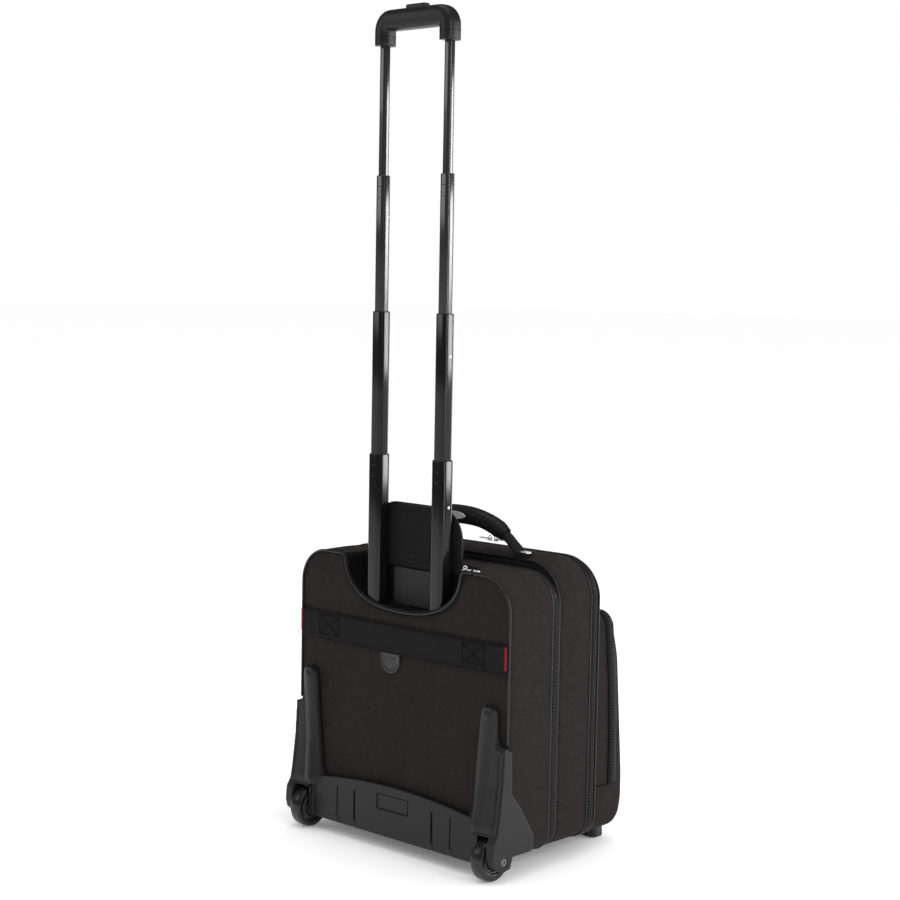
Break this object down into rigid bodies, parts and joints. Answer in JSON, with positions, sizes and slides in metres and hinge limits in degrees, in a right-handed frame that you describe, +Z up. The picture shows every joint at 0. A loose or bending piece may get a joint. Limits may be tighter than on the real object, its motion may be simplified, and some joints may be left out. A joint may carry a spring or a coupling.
{
  "type": "rolling laptop case",
  "caption": "Soft-sided laptop case on wheels with a telescoping trolley handle, carry handle, hinged front section and zipped front pocket.",
  "frame": {"origin": "centre of the bounding box at floor level, trolley handle pulled out", "axes": "+Z up, +Y towards the back with the wheels and trolley handle, X across the width"},
  "size_m": [0.4024, 0.309, 1.1505],
  "materials": {
    "ballistic_fabric": "woven ballistic nylon, very dark grey",
    "grey_lining": "smooth dark grey lining",
    "webbing": "black ribbed nylon tape",
    "guard_plastic": "moulded, lightly textured dark grey",
    "grip_plastic": "smooth black plastic, half gloss",
    "tube_aluminium": "black anodised, satin",
    "steel": "polished nickel plate",
    "tyre_rubber": "smooth black rubber",
    "hub_plastic": "dark grey moulded plastic",
    "red_label": "red woven ribbon",
    "board": "stiffening board",
    "zip_tape": "black coil zip on black tape"
  },
  "bodies": {
    "rear_case": {"rear_shell": "ballistic_fabric", "recess_tray": "ballistic_fabric", "recess_panel": "grey_lining", "trolley_board": "board", "base_board": "board", "laptop_sleeve": "grey_lining", "back_piping_left": "webbing", "back_piping_right": "webbing", "cutout_binding": "webbing", "back_strap": "webbing", "strap_tab": "grip_plastic", "side_tag_left": "red_label", "side_tag_right": "red_label", "base_guard": "guard_plastic", "axle_left": "steel", "axle_right": "steel", "fixed_tube_left": "tube_aluminium", "fixed_tube_right": "tube_aluminium", "tube_bracket": "guard_plastic", "trolley_bezel": "guard_plastic", "middle_zip": "zip_tape"},
    "stage_1": {"stage_1_tube_left": "tube_aluminium", "stage_1_tube_right": "tube_aluminium"},
    "stage_2": {"stage_2_tube_left": "tube_aluminium", "stage_2_tube_right": "tube_aluminium"},
    "stage_3": {"stage_3_tube_left": "tube_aluminium", "stage_3_tube_right": "tube_aluminium"},
    "stage_4": {"stage_4_tube_left": "tube_aluminium", "stage_4_tube_right": "tube_aluminium", "grip": "grip_plastic", "grip_cover": "grip_plastic", "button_spring": "steel"},
    "release": {"release_button": "hub_plastic"},
    "wheel_left": {"tyre_left": "tyre_rubber", "hub_left": "hub_plastic", "wheel_bush_left": "steel"},
    "wheel_right": {"tyre_right": "tyre_rubber", "hub_right": "hub_plastic", "wheel_bush_right": "steel"},
    "flap": {"trolley_flap": "ballistic_fabric"},
    "front_section": {"front_shell": "ballistic_fabric", "lid_zip": "zip_tape", "handle_rivet_left": "steel", "handle_rivet_right": "steel"},
    "carry_handle": {"carry_grip": "grip_plastic", "carry_web_left": "webbing", "carry_web_right": "webbing", "carry_badge": "steel"},
    "lid": {"lid_panel": "ballistic_fabric", "pocket_frame": "ballistic_fabric", "pocket_zip": "zip_tape", "front_foot_left": "tyre_rubber", "front_foot_right": "tyre_rubber"},
    "pocket_door": {"pocket_flap": "ballistic_fabric"},
    "rear_tab": {"rear_pull": "steel"},
    "lid_tab_left": {"lid_pull_left": "steel"},
    "lid_tab_right": {"lid_pull_right": "steel"},
    "pocket_tab_left": {"pocket_pull_left": "steel"},
    "pocket_tab_right": {"pocket_pull_right": "steel"}
  },
  "joints": [
    {"name": "trolley_stage_1", "type": "slide", "parent": "rear_case", "child": "stage_1", "axis": [0, 0, 1], "range_m": [-0.219, 0]},
    {"name": "trolley_stage_2", "type": "slide", "parent": "stage_1", "child": "stage_2", "axis": [0, 0, 1], "range_m": [-0.19, 0]},
    {"name": "trolley_stage_3", "type": "slide", "parent": "stage_2", "child": "stage_3", "axis": [0, 0, 1], "range_m": [-0.177, 0]},
    {"name": "trolley_stage_4", "type": "slide", "parent": "stage_3", "child": "stage_4", "axis": [0, 0, 1], "range_m": [-0.166, 0]},
    {"name": "release_press", "type": "slide", "parent": "stage_4", "child": "release", "axis": [0, 0, 1], "range_m": [-0.003, 0], "stiffness_N_per_m": 600, "springref_m": 0.0015, "deforming": ["button_spring"]},
    {"name": "wheel_left_spin", "type": "hinge", "parent": "rear_case", "child": "wheel_left", "pos_m": [0.1757, 0.125, 0.0295], "axis": [1, 0, 0], "continuous": true},
    {"name": "wheel_right_spin", "type": "hinge", "parent": "rear_case", "child": "wheel_right", "pos_m": [-0.1757, 0.125, 0.0295], "axis": [1, 0, 0], "continuous": true},
    {"name": "trolley_flap_fold", "type": "hinge", "parent": "rear_case", "child": "flap", "pos_m": [0, 0.0909, 0.4048], "axis": [1, 0, 0], "range_deg": [0, 80]},
    {"name": "front_section_open", "type": "hinge", "parent": "rear_case", "child": "front_section", "pos_m": [0, 0.02185, 0.024], "axis": [1, 0, 0], "range_deg": [0, 60]},
    {"name": "carry_handle_swing", "type": "hinge", "parent": "front_section", "child": "carry_handle", "pos_m": [0, 0.008, 0.419], "axis": [1, 0, 0], "range_deg": [-65, 65]},
    {"name": "lid_open", "type": "hinge", "parent": "front_section", "child": "lid", "pos_m": [0, -0.0662, 0.024], "axis": [1, 0, 0], "range_deg": [0, 80]},
    {"name": "pocket_open", "type": "hinge", "parent": "lid", "child": "pocket_door", "pos_m": [0, -0.1545, 0.087], "axis": [1, 0, 0], "range_deg": [0, 85]},
    {"name": "rear_pull_lift", "type": "hinge", "parent": "rear_case", "child": "rear_tab", "pos_m": [-0.114, 0.112, 0.4038], "axis": [0, 1, 0], "range_deg": [0, 95]},
    {"name": "lid_pull_left_lift", "type": "hinge", "parent": "front_section", "child": "lid_tab_left", "pos_m": [0.005, -0.0642, 0.4178], "axis": [0, -1, 0], "range_deg": [0, 95]},
    {"name": "lid_pull_right_lift", "type": "hinge", "parent": "front_section", "child": "lid_tab_right", "pos_m": [-0.005, -0.0642, 0.4178], "axis": [0, 1, 0], "range_deg": [0, 95]},
    {"name": "pocket_pull_left_lift", "type": "hinge", "parent": "lid", "child": "pocket_tab_left", "pos_m": [0.005, -0.0985, 0.3373], "axis": [0, -1, 0], "range_deg": [0, 95]},
    {"name": "pocket_pull_right_lift", "type": "hinge", "parent": "lid", "child": "pocket_tab_right", "pos_m": [-0.005, -0.0985, 0.3373], "axis": [0, 1, 0], "range_deg": [0, 95]}
  ]
}
